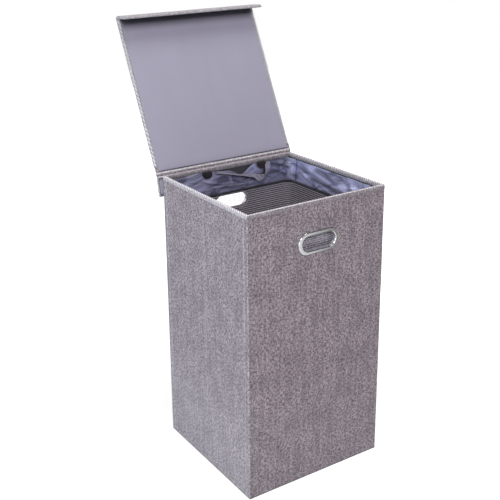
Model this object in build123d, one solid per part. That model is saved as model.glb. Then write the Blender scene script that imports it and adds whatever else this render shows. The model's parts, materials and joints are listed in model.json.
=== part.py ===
from build123d import *
import os
from math import asin, atan2, cos, degrees, hypot, radians, sin

# Collapsible laundry hamper with a hinged lid, a folding lid lip, a lift-up base panel
# and a hanging liner bag.  Millimetres, +Z up, handle side towards -Y, lid hinge along X
# behind the rear wall.  The origin is the centre of the underside.

# ---- overall size ----
width = 332.0  # left to right over the rim tape
depth = 315.0  # front to rear over the rim tape
height = 603.0  # floor to the top of the rim

# ---- sheet thicknesses ----
wall_board = 2.5  # stiff board inside each wall
cover_cloth = 1.0  # woven outer cover
lining_cloth = 0.8  # inner lining of the walls
bottom_cloth_thick = 1.2  # black cloth that closes the underside
tape = 0.8  # binding tape over the rim

# ---- walls ----
rim_drop_outside = 9.0  # how far the tape reaches down the cover
rim_drop_inside = 7.0  # how far it reaches down the lining
corner_gap = 0.6  # between neighbouring boards, so the corners can fold
fold_gap = 3.0  # between the two halves of each side board

# ---- base panel ----
base_board_thick = 3.0
base_cover_thick = 0.8
base_side_gap = 1.0  # between the base panel and the lining all round
base_seat_gap = 0.3  # between the base panel and the bottom cloth

# ---- hand-hole frames ----
hand_hole_width = 80.0
hand_hole_height = 30.0
hand_hole_drop = 85.0  # rim down to the middle of the hole
frame_width = 98.0  # outer size of the bright frame
frame_height = 46.0
frame_proud = 2.6  # how far the frame stands off the cover
frame_edge_radius = 2.0
sleeve_wall = 1.2  # the frame's sleeve through the wall
sleeve_gap = 0.3  # between the sleeve and what it passes through
washer_width = 94.0  # clamping ring on the inside
washer_height = 40.0
washer_thick = 1.0

# ---- liner bag ----
liner_wall_gap = 0.5  # between the lining and the satin band
band_thick = 4.0  # room that the wrinkled satin takes up
seam_thick = 1.5  # binding between the band and the net
seam_gap = 0.9  # between that binding and the hand-hole's clamping ring
net_inset = 12.0  # lining to the net, which leaves room for fingers
net_thick = 1.5
net_floor_gap = 8.0  # between the base panel and the hanging net

# ---- liner tabs and carry strap ----
tab_width = 22.0
tab_drop = 15.0
tab_thick = 1.2
tab_offset = 70.0  # middle of the wall to the middle of each tab
tab_rim_gap = 0.2  # between the tab and the rim tape above it
strap_width = 15.0
strap_thick = 1.5
strap_side_gap = 5.0  # between the strap and the tabs beside it
strap_sag = 27.0  # how far the strap droops below the top of the band

# ---- rear flap and its hook-and-loop fastening ----
hinge_offset = 12.0  # rear wall to the hinge line
hinge_roll_radius = 2.9
flap_length = 49.0
flap_neck = 6.0  # cloth alone between the hinge line and the flap's board
flap_board_thick = 2.0
flap_cloth_thick = 1.0
fastener_thick = 1.2
fastener_length = 300.0
hook_height = 18.0
loop_height = 25.0
hook_edge = 2.0  # flap's lower edge to the hook strip
fastener_gap = 0.3

# ---- lid ----
lid_overhang = 8.0  # past the walls on each side
lid_seat_gap = 0.4  # between the closed lid and the rim
lid_board_thick = 3.5
lid_cloth_thick = 1.0
lid_lining_thick = 0.8
lid_border = 7.0  # cover cloth turned in round the lining
hinge_cloth_length = 14.0  # hinge line to the lid's board
hinge_gap = 0.9  # between the hinge roll and the lid
lid_open = 116.0  # degrees from closed

# ---- lid lip ----
lip_length = 40.0
lip_fold = 113.0  # degrees from straight
lip_gap = 0.3  # between the fold roll and the lip
lip_wall_gap = 1.5  # between the closed lid's lip and the front wall


def block(x0, x1, y0, y1, z0, z1):
    """A box between two corners."""
    middle = Pos((x0 + x1) / 2, (y0 + y1) / 2, (z0 + z1) / 2)
    return middle * Box(abs(x1 - x0), abs(y1 - y0), abs(z1 - z0))


def ring(outer_x, outer_y, inner_x, inner_y, z0, z1):
    """A rectangular frame around the Z axis, given its half widths."""
    outside = block(-outer_x, outer_x, -outer_y, outer_y, z0, z1)
    return outside - block(-inner_x, inner_x, -inner_y, inner_y, z0, z1)


def slot_prism(slot_width, slot_height, y0, y1):
    """A round-ended slot on the hand-hole's centre line, from y0 to y1."""
    outline = Plane.XZ * SlotOverall(slot_width, slot_height)
    prism = extrude(outline, amount=abs(y1 - y0) / 2, both=True)
    return Pos(0, (y0 + y1) / 2, height - hand_hole_drop) * prism


def save(name, shape):
    """Writes one named piece."""
    shape.label = name
    export_step(shape, f"parts/{name}.step")


os.makedirs("parts", exist_ok=True)

# ---- half widths of each layer, from the outside in ----
cover_x = width / 2 - tape
cover_y = depth / 2 - tape
board_x = cover_x - cover_cloth
board_y = cover_y - cover_cloth
lining_x = board_x - wall_board
lining_y = board_y - wall_board
inside_x = lining_x - lining_cloth
inside_y = lining_y - lining_cloth
wall_foot = bottom_cloth_thick
wall_top = height - tape

# ---- wall boards: the front and rear in one piece, each side in two that fold inwards ----
sleeve_width = hand_hole_width + 2 * sleeve_wall
sleeve_height = hand_hole_height + 2 * sleeve_wall
cut_width = sleeve_width + 2 * sleeve_gap
cut_height = sleeve_height + 2 * sleeve_gap
hand_holes = slot_prism(cut_width, cut_height, -depth, depth)
side_end = lining_y - corner_gap

for end_name, end in (("front", -1), ("rear", 1)):
    board = block(-board_x, board_x, end * lining_y, end * board_y, wall_foot, wall_top)
    save(f"{end_name}_board", board - hand_holes)
    cover = block(-cover_x, cover_x, end * board_y, end * cover_y, wall_foot, wall_top)
    save(f"{end_name}_cover", cover - hand_holes)
    lining = block(-inside_x, inside_x, end * inside_y, end * lining_y, wall_foot, wall_top)
    save(f"{end_name}_lining", lining - hand_holes)

for side_name, side in (("left", -1), ("right", 1)):
    for half_name, half in (("front", -1), ("rear", 1)):
        half_board = block(
            side * lining_x, side * board_x, half * fold_gap / 2, half * side_end, wall_foot, wall_top
        )
        save(f"{side_name}_board_{half_name}", half_board)
    cover = block(side * board_x, side * cover_x, -board_y, board_y, wall_foot, wall_top)
    save(f"{side_name}_cover", cover)
    lining = block(side * inside_x, side * lining_x, -lining_y, lining_y, wall_foot, wall_top)
    save(f"{side_name}_lining", lining)

# ---- rim tape: folded over the top edge of all four walls ----
tape_in_x = inside_x - tape
tape_in_y = inside_y - tape
rim_top = ring(width / 2, depth / 2, tape_in_x, tape_in_y, wall_top, height)
rim_outside = ring(width / 2, depth / 2, cover_x, cover_y, height - rim_drop_outside, height)
rim_inside = ring(inside_x, inside_y, tape_in_x, tape_in_y, height - rim_drop_inside, height)
save("rim_tape", rim_top + rim_outside + rim_inside)

# ---- underside and base panel ----
save("bottom_cloth", block(-cover_x, cover_x, -cover_y, cover_y, 0, bottom_cloth_thick))

base_x = inside_x - base_side_gap
base_y = inside_y - base_side_gap
base_foot = bottom_cloth_thick + base_seat_gap
base_board_top = base_foot + base_board_thick
base_top = base_board_top + base_cover_thick
base_board_x = base_x - base_cover_thick
base_board_y = base_y - base_cover_thick
base_board = block(-base_board_x, base_board_x, -base_board_y, base_board_y, base_foot, base_board_top)
save("base_board", base_board)
base_envelope = block(-base_x, base_x, -base_y, base_y, base_foot, base_top)
save("base_cover", base_envelope - base_board)

# ---- hand-hole frames: a rounded bright rim with a sleeve, clamped by a ring inside ----
for end_name, end in (("front", -1), ("rear", 1)):
    rim_face = end * (cover_y + frame_proud)
    flange = slot_prism(frame_width, frame_height, end * cover_y, rim_face)
    flange -= slot_prism(hand_hole_width, hand_hole_height, end * cover_y, rim_face)
    outer_face = flange.faces().sort_by(Axis.Y)[-1 if end > 0 else 0]
    flange = fillet(outer_face.edges(), frame_edge_radius)
    sleeve_end = end * (inside_y - washer_thick)
    sleeve = slot_prism(sleeve_width, sleeve_height, sleeve_end, end * cover_y)
    sleeve -= slot_prism(hand_hole_width, hand_hole_height, sleeve_end, end * cover_y)
    save(f"{end_name}_handle_frame", flange + sleeve)
    washer = slot_prism(washer_width, washer_height, sleeve_end, end * inside_y)
    washer -= slot_prism(cut_width, cut_height, sleeve_end, end * inside_y)
    save(f"{end_name}_handle_washer", washer)

# ---- liner: satin band round the top, binding, and a net bag hung from it ----
band_top = height - rim_drop_inside - tab_rim_gap - tab_thick
seam_foot = height - hand_hole_drop + washer_height / 2 + seam_gap
band_foot = seam_foot + seam_thick
band_x = inside_x - liner_wall_gap
band_y = inside_y - liner_wall_gap
band_in_x = band_x - band_thick
band_in_y = band_y - band_thick
net_x = inside_x - net_inset
net_y = inside_y - net_inset
net_in_x = net_x - net_thick
net_in_y = net_y - net_thick
net_foot = base_top + net_floor_gap
net_floor = net_foot + net_thick

for end_name, end in (("front", -1), ("rear", 1)):
    band = block(-band_x, band_x, end * band_in_y, end * band_y, band_foot, band_top)
    save(f"liner_band_{end_name}", band)
    net = block(-net_x, net_x, end * net_in_y, end * net_y, net_floor, seam_foot)
    save(f"liner_net_{end_name}", net)

for side_name, side in (("left", -1), ("right", 1)):
    band = block(side * band_in_x, side * band_x, -band_in_y, band_in_y, band_foot, band_top)
    save(f"liner_band_{side_name}", band)
    net = block(side * net_in_x, side * net_x, -net_in_y, net_in_y, net_floor, seam_foot)
    save(f"liner_net_{side_name}", net)

save("liner_seam", ring(band_x, band_y, net_in_x, net_in_y, seam_foot, band_foot))
save("liner_net_floor", block(-net_x, net_x, -net_y, net_y, net_foot, net_floor))

# ---- tabs that fold over the band and hold the liner to the front and rear walls ----
for end_name, end in (("front", -1), ("rear", 1)):
    tabs = []
    for side in (-1, 1):
        tab_left = side * tab_offset - tab_width / 2
        tab_right = tab_left + tab_width
        tab_front = end * (band_in_y - tab_thick)
        bridge = block(tab_left, tab_right, tab_front, end * inside_y, band_top, band_top + tab_thick)
        hanging = block(
            tab_left, tab_right, tab_front, end * band_in_y, band_top + tab_thick - tab_drop, band_top + tab_thick
        )
        tabs.append(bridge + hanging)
    save(f"liner_tabs_{end_name}", Compound(children=tabs))

# ---- carry strap: a satin ribbon that droops against the rear of the band ----
strap_start = strap_side_gap + tab_width / 2 + strap_width / 2 - tab_offset
strap_end = tab_offset + tab_width / 2 + strap_side_gap + strap_width / 2
strap_low = band_top - strap_sag - strap_width / 2
strap_corner = tab_offset - strap_width / 2
strap_route = Polyline(
    (strap_start, band_top - strap_width / 2),
    (strap_corner, strap_low),
    (strap_end, strap_low),
    (strap_end, band_top),
)
strap_face = Plane.XZ * trace(strap_route, line_width=strap_width)
strap = Pos(0, band_in_y, 0) * extrude(strap_face, amount=strap_thick)
save("liner_strap", strap)

# ---- rear flap: hangs from the hinge line and leans in until its hook strip meets the wall ----
hinge_y = depth / 2 + hinge_offset
hinge_cloth_half = (lid_lining_thick + lid_cloth_thick) / 2
hinge_z = height + lid_seat_gap + hinge_cloth_half
lid_half = width / 2 + lid_overhang
flap_half_thick = flap_board_thick / 2 + flap_cloth_thick
hook_reach = flap_length - hook_edge
hook_face = flap_half_thick + fastener_thick
lean_room = hinge_y - (cover_y + fastener_thick + fastener_gap)
flap_lean = asin(lean_room / hypot(hook_reach, hook_face)) - atan2(hook_face, hook_reach)
flap_place = Pos(0, hinge_y, hinge_z) * Rot(-degrees(flap_lean), 0, 0)

flap_board_top = -(flap_neck + flap_cloth_thick)
flap_board = block(
    -lid_half,
    lid_half,
    -flap_board_thick / 2,
    flap_board_thick / 2,
    flap_cloth_thick - flap_length,
    flap_board_top,
)
flap_envelope = block(
    -lid_half, lid_half, -flap_half_thick, flap_half_thick, -flap_length, -flap_neck
)
flap_web = block(-lid_half, lid_half, -flap_cloth_thick, flap_cloth_thick, flap_board_top, 0)
hinge_roll = Rot(0, 90, 0) * Cylinder(hinge_roll_radius, 2 * lid_half)
save("flap_board", flap_place * flap_board)
save("flap_cover", flap_place * (flap_envelope + flap_web + hinge_roll - flap_board))
hook_strip = block(
    -fastener_length / 2,
    fastener_length / 2,
    -hook_face,
    -flap_half_thick,
    -hook_reach,
    hook_height - hook_reach,
)
save("flap_hook_strip", flap_place * hook_strip)
loop_middle = hinge_z - (hook_reach - hook_height / 2) * cos(flap_lean)
loop_strip = block(
    -fastener_length / 2,
    fastener_length / 2,
    cover_y,
    cover_y + fastener_thick,
    loop_middle - loop_height / 2,
    loop_middle + loop_height / 2,
)
save("wall_loop_strip", loop_strip)

# ---- lid: built closed with its lining face on its own origin plane, then swung open ----
lid_thick = lid_lining_thick + lid_board_thick + lid_cloth_thick
lid_start = hinge_roll_radius + hinge_gap
lip_lean_in = lip_length * sin(radians(lip_fold - 90))
lid_reach = hinge_offset + depth + lip_wall_gap + lip_lean_in
lid_place = Pos(0, hinge_y, hinge_z) * Rot(-lid_open, 0, 0) * Pos(0, 0, -hinge_cloth_half)
lid_board_half = lid_half - lid_cloth_thick
lining_half = lid_half - lid_border
lid_board_top = lid_thick - lid_cloth_thick

lid_board = block(
    -lid_board_half, lid_board_half, -lid_reach, -hinge_cloth_length, lid_lining_thick, lid_board_top
)
lid_lining = block(-lining_half, lining_half, -lid_reach, -lid_start, 0, lid_lining_thick)
lid_envelope = block(
    -lid_half, lid_half, -lid_reach, lid_cloth_thick - hinge_cloth_length, 0, lid_thick
)
hinge_tongue = block(
    -lid_half, lid_half, -hinge_cloth_length, -lid_start, 0, lid_lining_thick + lid_cloth_thick
)
save("lid_board", lid_place * lid_board)
save("lid_lining", lid_place * lid_lining)
save("lid_cover", lid_place * (lid_envelope + hinge_tongue - lid_board - lid_lining))

# ---- fold roll: the cloth that goes round the crease between the lid and its lip ----
fold_sector = Cylinder(
    lid_thick, 2 * lid_half, arc_size=90 + lip_fold, align=(Align.NONE, Align.NONE, Align.CENTER)
)
fold_roll = Rot(180, 0, 0) * Rot(0, 90, 0) * fold_sector
save("lid_fold_roll", lid_place * Pos(0, -lid_reach, 0) * fold_roll)

# ---- lip: built straight with the crease at its own origin, then folded in ----
lip_place = lid_place * Pos(0, -lid_reach, 0) * Rot(lip_fold, 0, 0)
lip_start = lid_thick + lip_gap
lip_board = block(
    -lid_board_half,
    lid_board_half,
    lid_cloth_thick - lip_length,
    -lip_start,
    lid_lining_thick,
    lid_board_top,
)
lip_lining = block(
    -lining_half, lining_half, lid_cloth_thick - lip_length, -lip_start, 0, lid_lining_thick
)
lip_envelope = block(-lid_half, lid_half, -lip_length, -lip_start, 0, lid_thick)
save("lip_board", lip_place * lip_board)
save("lip_lining", lip_place * lip_lining)
save("lip_cover", lip_place * (lip_envelope - lip_board - lip_lining))
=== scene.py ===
import json
from math import atan2, cos, pi, radians, sin

import bpy
import numpy as np
from mathutils import Matrix, Vector, noise


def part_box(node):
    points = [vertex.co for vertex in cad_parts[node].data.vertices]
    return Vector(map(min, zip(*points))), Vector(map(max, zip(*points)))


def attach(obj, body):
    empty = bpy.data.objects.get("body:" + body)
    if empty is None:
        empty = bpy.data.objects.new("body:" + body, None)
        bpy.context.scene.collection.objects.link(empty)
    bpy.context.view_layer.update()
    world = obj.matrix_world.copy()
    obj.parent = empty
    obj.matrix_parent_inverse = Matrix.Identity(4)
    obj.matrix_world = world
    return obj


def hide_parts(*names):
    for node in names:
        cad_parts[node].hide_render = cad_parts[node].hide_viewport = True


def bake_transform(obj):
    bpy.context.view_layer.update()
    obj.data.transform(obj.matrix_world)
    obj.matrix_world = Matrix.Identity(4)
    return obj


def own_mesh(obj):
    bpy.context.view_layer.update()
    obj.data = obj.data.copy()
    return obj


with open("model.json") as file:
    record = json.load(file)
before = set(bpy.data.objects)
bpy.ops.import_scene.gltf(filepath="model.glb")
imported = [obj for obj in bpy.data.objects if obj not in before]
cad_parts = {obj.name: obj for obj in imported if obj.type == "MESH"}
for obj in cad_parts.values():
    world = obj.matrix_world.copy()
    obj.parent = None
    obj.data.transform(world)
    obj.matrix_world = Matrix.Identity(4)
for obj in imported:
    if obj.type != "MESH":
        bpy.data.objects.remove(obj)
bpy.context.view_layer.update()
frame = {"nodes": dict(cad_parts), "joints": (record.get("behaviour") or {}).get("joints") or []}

# Looks of a cloth-covered folding hamper: outer cloth, lid, liner bag, bright hand-hole frames.
# Lengths are in metres, in the row frame: +Z up, the front towards -Y, the lid hinge along X.

MM = 0.001
CLOTH_UV = "cloth"  # flat cloth coordinates, in metres
WEAR_AND_PAINTED_LIGHT = "wear_and_painted_light"  # 0 to 1: on outer cloth lighter for worn spots and painted light; on the lid lining a painted dark line of crease shade; on satin towards its seam colour at seams and hems and as painted shade; on net denser threads as painted light

# ---- camera ----
CAMERA_TARGET = Vector((0.0, 0.0, 0.3))
CAMERA_AZIMUTH, CAMERA_ELEVATION, CAMERA_ROLL = (radians(a) for a in (-31.13, 17.658, -1.414))
CAMERA_OFFSET = Vector((-0.1377, 0.2583, 1.8971))  # right, up and back from the target
CAMERA_LENS = 63.79
CAMERA_SHIFT = (0.0859, -0.1105)

# ---- cloth sizes that the frame does not give ----
COVER_THICK = 0.8 * MM
LID_SKIN = 0.5 * MM  # lining over the turned-in cloth
HEM_PUFF = 0.7 * MM  # how far the lid's turned-in hem stands out
EDGE_RADIUS = 1.9 * MM  # of the cloth round a board's edge
TAPE_THICK = 0.8 * MM
TAPE_BEND = 2.2 * MM  # radius of the rim tape's two folds
TAPE_INNER = 10 * MM  # runs down behind the liner band
STITCH_PITCH = 4.4 * MM
ROPE = 6.4 * MM  # length of one twist of a roped hem
SEAM_LAP = 12 * MM  # lapped seam beside each vertical corner
BAND_SEAM = 28 * MM  # liner's upright seam, this far from the rear wall
BINDING = 1.7 * MM  # radius of the roll between the band and the net
TAB_SHIFT = 9 * MM  # how far right of the middle the rear pair of tabs sits
STRAP_WIDTH = 15 * MM
ROLL_WIDTH = 3.4 * MM  # half width of the hinge's roll


# ---- meshes ----
def wobble(x, y, z, size, seed=0.0):
    """Smooth noise between about -1 and 1 at each place; size is the width of its lumps."""
    k = 1 / size
    spots = np.stack([x * k + seed, y * k - seed, z * k + 2 * seed], 1)
    return np.array([noise.noise(spot) for spot in spots])


def smooth(t):
    """0 up to t = 0, 1 from t = 1, and an even slope between."""
    t = np.clip(t, 0, 1)
    return t * t * (3 - 2 * t)


def bell(x, middle, width):
    """1 at middle, fading out on both sides over about that width."""
    return np.exp(-(((x - middle) / width) ** 2))


def ladder(start, end, step, extra=()):
    """Rising values from start to end about step apart, with the extra ones in between."""
    count = max(1, round((end - start) / step))
    even = list(np.linspace(start, end, count + 1))
    wanted = [e for e in extra if start < e < end]
    kept = [v for v in even if v in (start, end) or all(abs(v - e) > 0.45 * step for e in wanted)]
    return np.array(sorted(set(kept + wanted)))


def points(x, y, z):
    """An array of points from their three coordinates."""
    return np.stack([x, y, z], 1)


def linked(name, data):
    """A new object in the scene."""
    obj = bpy.data.objects.new(name, data)
    bpy.context.scene.collection.objects.link(obj)
    return obj


def build(name, places, faces, corners, wear_and_painted_light=None):
    """A mesh object from vertex places, faces and one flat coordinate per face corner."""
    mesh = bpy.data.meshes.new(name)
    mesh.from_pydata(np.array(places).tolist(), [], [list(map(int, face)) for face in faces])
    mesh.uv_layers.new(name=CLOTH_UV).uv.foreach_set("vector", np.ravel(corners))
    if wear_and_painted_light is not None:
        mesh.attributes.new(WEAR_AND_PAINTED_LIGHT, "FLOAT", "POINT").data.foreach_set("value", wear_and_painted_light)
    mesh.polygons.foreach_set("use_smooth", [True] * len(mesh.polygons))
    return linked(name, mesh)


def cloth_grid(name, place, us, vs, closed=False, keep=None, wear_and_painted_light=None):
    """A sheet over flat coordinates us x vs; place(u, v) gives the points. closed joins its ends."""
    columns = len(us) - 1 if closed else len(us)
    u, v = (a.ravel() for a in np.meshgrid(us[:columns], vs, indexing="ij"))
    i, k = np.indices((len(us) - 1, len(vs) - 1)).reshape(2, -1)
    if keep is not None:
        kept = keep((us[i] + us[i + 1]) / 2, (vs[k] + vs[k + 1]) / 2)
        i, k = i[kept], k[kept]
    across, up = i[:, None] + [0, 1, 1, 0], k[:, None] + [0, 0, 1, 1]
    used, faces = np.unique(across % columns * len(vs) + up, return_inverse=True)
    worn = None if wear_and_painted_light is None else wear_and_painted_light(u, v)[used]
    return build(name, place(u, v)[used], faces.reshape(-1, 4), np.stack([us[across], vs[up]], -1), worn)


def rounded_slab(name, xs, ys, zs, radius, place=points, swell=None, wear_and_painted_light=None):
    """A closed slab over a box grid, its edges rounded; place(x, y, z) puts it in the row frame."""
    grid = np.stack(np.meshgrid(xs, ys, zs, indexing="ij"), -1)
    numbers = np.arange(grid[..., 0].size).reshape(grid.shape[:3])
    faces = []
    for across in (2, 1, 0):
        for level in (0, -1):
            side = np.moveaxis(numbers, across, 0)[level]
            quads = np.stack([side[:-1, :-1], side[1:, :-1], side[1:, 1:], side[:-1, 1:]], -1).reshape(-1, 4)
            faces.append(quads[:, ::-1] if (level == 0) == (across != 1) else quads)
    used, faces = np.unique(np.concatenate(faces), return_inverse=True)
    faces = faces.reshape(-1, 4)
    flat = grid.reshape(-1, 3)[used]
    low, high = grid[0, 0, 0], grid[-1, -1, -1]
    reach = np.minimum(radius, (high - low) / 2)
    core = np.clip(flat, low + reach, high - reach)
    out = flat - core
    length = np.linalg.norm(out / np.maximum(reach, 1e-9), axis=1, keepdims=True)
    solid = core + out / np.maximum(length, 1)
    edge = (length[:, 0] > 1.001).astype(float)
    if swell is not None:
        solid = swell(solid, flat)
    corners = np.stack([flat[faces, 0], flat[faces, 1] + flat[faces, 2]], -1)
    return build(name, place(*solid.T), faces, corners, edge if wear_and_painted_light is None else wear_and_painted_light(flat, edge))


def lumpy(height, size, stretch=(1, 1, 1), seed=0.0, middle=0.0, on_face=lambda level: 1):
    """A swell for a slab: lumps of that height and size about middle, on the face that on_face picks."""

    def swell(solid, flat):
        lumps = middle + (1 - middle) * wobble(*(flat * stretch).T, size, seed)
        solid[:, 2] += height * lumps * on_face(flat[:, 2])
        return solid

    return swell


def applied(obj, kind, **settings):
    """Gives obj that modifier and keeps the result as its mesh."""
    modifier = obj.modifiers.new(kind, kind)
    for key, value in settings.items():
        setattr(modifier, key, value)
    graph = bpy.context.evaluated_depsgraph_get()
    graph.update()
    solid = obj.evaluated_get(graph)
    mesh = bpy.data.meshes.new_from_object(solid, preserve_all_data_layers=True, depsgraph=graph)
    obj.modifiers.clear()
    obj.data = mesh
    return obj


def thickened(obj, thick, offset=-1.0):
    return applied(obj, "SOLIDIFY", thickness=thick, offset=offset)


class Loop:
    """A rounded rectangle seen from above, walked anticlockwise from the middle of the rear."""

    def __init__(self, half_x, half_y, radius):
        self.half_x, self.radius = half_x, radius
        x, y, turn = half_x - radius, half_y - radius, pi / 2 * radius
        # at the ends of its straight runs and corners: the distance, the centre of the bend, the way out
        self.breaks = np.cumsum([0, x, turn, 2 * y, turn, 2 * x, turn, 2 * y, turn, x])
        self.core_x = x * np.sign([0, -1, -1, -1, -1, 1, 1, 1, 1, 0])
        self.core_y = y * np.sign([1, 1, 1, -1, -1, -1, -1, 1, 1, 1])
        self.out = pi / 2 * np.array([1, 1, 2, 2, 3, 3, 4, 4, 5, 5])
        self.length = self.breaks[-1]
        self.middles = (self.breaks[1:] + self.breaks[:-1]) / 2

    def at(self, u):
        """Places and outward normals at distances u."""
        u = np.asarray(u) % self.length
        x, y, out = (np.interp(u, self.breaks, side) for side in (self.core_x, self.core_y, self.out))
        return x + np.cos(out) * self.radius, y + np.sin(out) * self.radius, np.cos(out), np.sin(out)

    def stations(self, step, near=(), turns=6):
        """Distances for a mesh: about step apart on the straight runs, closer in the corners."""
        values = []
        for number, (start, end) in enumerate(zip(self.breaks, self.breaks[1:])):
            ends = [start + 1.2 * MM, start + 3 * MM, end - 3 * MM, end - 1.2 * MM]
            bend = np.linspace(start, end, turns + 1)
            run = bend if number % 2 else ladder(start, end, step, [*ends, *near])
            values += list(run[:-1])
        return np.array(values + [self.length])


# ---- shader nodes ----
class Value:
    """A node's output; + - * and abs() on it make maths nodes."""

    def __init__(self, tree, socket):
        self.tree, self.socket = tree, socket

    def __add__(self, other):
        return self.tree.math("ADD", self, other)

    def __sub__(self, other):
        return self.tree.math("SUBTRACT", self, other)

    def __rsub__(self, other):
        return self.tree.math("SUBTRACT", other, self)

    def __mul__(self, other):
        return self.tree.math("MULTIPLY", self, other)

    def __abs__(self):
        return self.tree.math("ABSOLUTE", self)


class Tree:
    """Builds the nodes of one material, or of the world."""

    def __init__(self, name, world=False):
        self.material = bpy.data.worlds.new(name) if world else bpy.data.materials.new(name)
        self.material.use_nodes = True
        self.tree = self.material.node_tree
        self.tree.nodes.clear()

    def fill(self, socket, value):
        """Links a node's value to a socket, or sets a plain one on it."""
        if isinstance(value, Value):
            self.tree.links.new(value.socket, socket)
        else:
            socket.default_value = value

    def add(self, kind, *values, out=0, sockets=None, **settings):
        """One node; values fill its inputs in turn and sockets by name. Gives one of its outputs."""
        made = self.tree.nodes.new("ShaderNode" + kind)
        for key, value in settings.items():
            setattr(made, key, value)
        for key, value in [*enumerate(values), *(sockets or {}).items()]:
            if value is not None:
                self.fill(made.inputs[key], value)
        return Value(self, made.outputs[out])

    def math(self, operation, a, b=0.0):
        return self.add("Math", a, b, operation=operation)

    def mix(self, share, a, b, mode="MIX"):
        made = self.add("Mix", share, out=2, data_type="RGBA", blend_type=mode)
        for index, value in ((6, a), (7, b)):
            self.fill(made.socket.node.inputs[index], colour(value))
        return made

    def remap(self, value, low=0.3, high=0.7, to_low=0.0, to_high=1.0):
        return self.add("MapRange", value, low, high, to_low, to_high, clamp=True)

    def flat(self):
        """The flat cloth coordinates of the piece."""
        return self.add("UVMap", uv_map=CLOTH_UV)

    def place(self):
        """Where the spot is on the piece."""
        return self.add("TexCoord", out="Object")

    def split(self, vector):
        made = self.add("SeparateXYZ", vector)
        return [Value(self, socket) for socket in made.socket.node.outputs]

    def scaled(self, vector, x, y, z=1.0, shift=0.0):
        shifts = (shift, shift * 1.7, 0.0)
        return self.add("VectorMath", vector, (x, y, z), shifts, operation="MULTIPLY_ADD")

    def noise(self, vector, scale, detail, roughness, shift=0.0, dimensions="2D", distortion=0.0):
        """Noise with one scale, or with a scale for each axis."""
        if isinstance(scale, tuple):
            vector, scale = self.scaled(vector, *scale, shift=shift), 1.0
        sockets = {"Scale": scale, "Detail": detail, "Roughness": roughness, "Distortion": distortion}
        return self.add("TexNoise", vector, sockets=sockets, noise_dimensions=dimensions)

    def bump(self, height, distance, strength, under=None):
        sockets = {"Height": height, "Distance": distance, "Strength": strength, "Normal": under}
        return self.add("Bump", sockets=sockets)

    def wear_and_painted_light(self):
        return self.add("Attribute", out="Fac", attribute_name=WEAR_AND_PAINTED_LIGHT)

    def rays(self):
        """Whether a ray is the camera's own, also through a clear piece, and whether it is mirrored."""
        mirrored = self.add("LightPath", out="Is Glossy Ray")
        outputs = mirrored.socket.node.outputs
        seen = [Value(self, outputs[f"Is {kind} Ray"]) for kind in ("Camera", "Transmission")]
        return self.math("MAXIMUM", *seen), mirrored

    def painted_nook_shade(self, base, reach, low, high, darkest):
        """Painted shade: the colour base, darkened to that share deep in a recess or against a piece within
        reach.
        """
        open_share = self.add("AmbientOcclusion", out="AO", sockets={"Distance": reach}, samples=8)
        share = self.remap(open_share, low, high, darkest, 1.0)
        return self.mix(1.0, base, self.add("CombineColor", share, share, share), "MULTIPLY")

    def finish(self, base, rough, normal, specular=0.5, sheen=0.0, sheen_rough=0.5, metallic=0.0, alpha=1.0):
        """The surface shader; gives the material."""
        surface = {"Base Color": base, "Roughness": rough, "Normal": normal}
        surface |= {"Metallic": metallic, "Alpha": alpha}
        cloth = {"Specular IOR Level": specular, "Sheen Weight": sheen, "Sheen Roughness": sheen_rough}
        return self.show(self.add("BsdfPrincipled", sockets=surface | cloth))

    def show(self, shader, kind="OutputMaterial"):
        self.tree.links.new(shader.socket, self.tree.nodes.new("ShaderNode" + kind).inputs["Surface"])
        return self.material


def colour(value):
    """Gives three numbers the alpha that a colour socket wants."""
    return (*value, 1.0) if isinstance(value, tuple) and len(value) == 3 else value


def weave(t, flat, pitch, run, seed=0.0):
    """Plain weave of heathered yarn: gives how light the top thread is, and its height."""
    across = 1 / pitch
    warp = t.noise(flat, (across, across / run), 2.0, 0.6, seed)
    weft = t.noise(flat, (across / run, across), 2.0, 0.6, seed + 37)
    parts = t.split(t.scaled(flat, pi / pitch, pi / pitch))
    crossing = t.math("SINE", parts[0]) * t.math("SINE", parts[1])
    over = t.remap(crossing, -0.35, 0.35)
    return warp * over + weft * (1.0 - over), t.math("POWER", abs(crossing), 0.5)


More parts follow.
